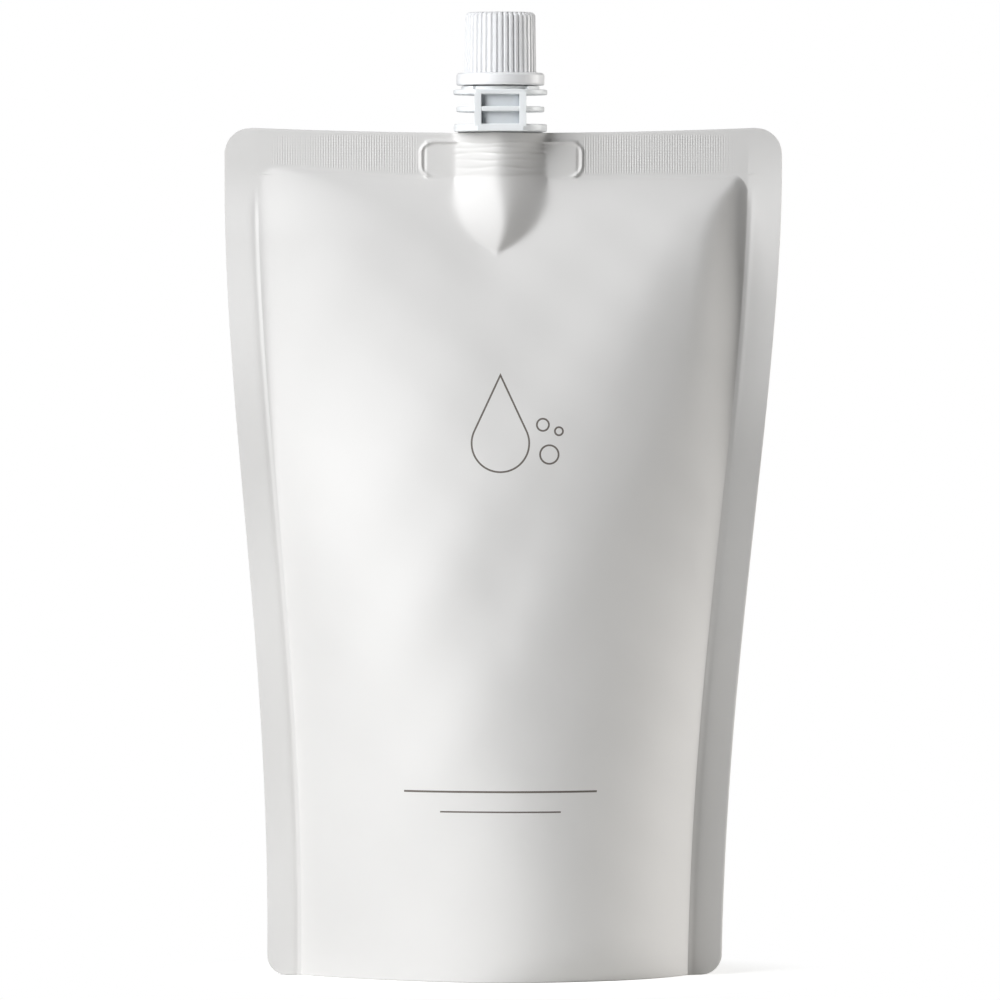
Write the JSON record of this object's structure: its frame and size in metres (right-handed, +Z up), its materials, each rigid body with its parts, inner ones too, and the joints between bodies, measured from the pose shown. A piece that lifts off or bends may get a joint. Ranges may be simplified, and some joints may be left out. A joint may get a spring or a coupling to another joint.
{
  "type": "hand soap refill pack",
  "caption": "Stand-up refill pouch of liquid soap with sealed edges, a folded base, a pouring spout welded into the top seal and a ribbed screw cap on a tamper ring.",
  "frame": {"origin": "on the floor, below the spout's axis, in the middle of the pouch's base", "axes": "+Z up along the spout's axis, +X to the right across the pouch's width, front panel towards -Y"},
  "size_m": [0.14, 0.064, 0.242],
  "materials": {
    "film": "satin pearl-white laminate film",
    "spout_plastic": "satin moulded white polyethylene",
    "cap_plastic": "satin moulded white polyethylene"
  },
  "bodies": {
    "pack": {"pouch": "film", "spout": "spout_plastic"},
    "ring": {"tamper_ring": "cap_plastic"},
    "cap": {"cap": "cap_plastic"}
  },
  "joints": [
    {"name": "cap_turn", "type": "hinge", "parent": "pack", "child": "ring", "pos_m": [0, 0, 0.22365], "axis": [0, 0, 1], "range_deg": [0, 720]},
    {"name": "cap_rise", "type": "slide", "parent": "ring", "child": "cap", "axis": [0, 0, 1], "range_m": [0, 0.0064]}
  ],
  "couplings": [
    {"joint": "cap_rise", "follows": "cap_turn", "m_per_rad": 0.00050929}
  ]
}
